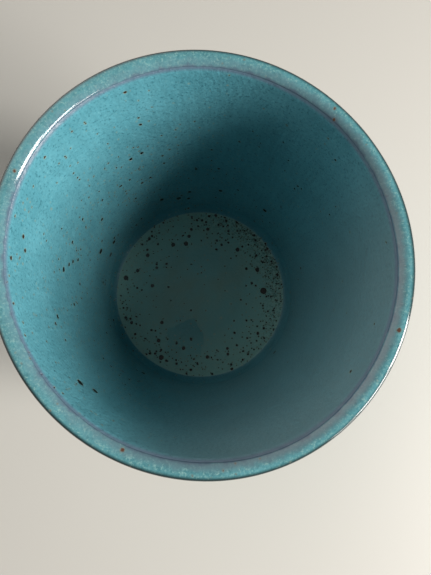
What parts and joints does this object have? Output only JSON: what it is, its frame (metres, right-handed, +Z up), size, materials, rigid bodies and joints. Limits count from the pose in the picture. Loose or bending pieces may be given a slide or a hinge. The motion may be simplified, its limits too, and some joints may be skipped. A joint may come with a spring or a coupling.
{
  "type": "stoneware pot",
  "caption": "Round tapered stoneware pot with a rounded rim, blue-green liner and outside glazes, a flat inside floor and a bare turned foot ring; no drain hole.",
  "frame": {"origin": "on the pot's axis, at the height of the foot ring's flat face", "axes": "+Z up along the pot's axis towards the mouth; +X and +Y are free, with the rim's long axis 110 degrees from +X"},
  "size_m": [0.178, 0.182, 0.164],
  "materials": {
    "stoneware": "bare fired stoneware, matt",
    "outer_glaze": "glossy speckled turquoise glaze",
    "liner_glaze": "satin speckled turquoise glaze"
  },
  "bodies": {
    "root": {"stoneware_body": "stoneware", "outer_glaze": "outer_glaze", "liner_glaze": "liner_glaze"}
  },
  "joints": []
}
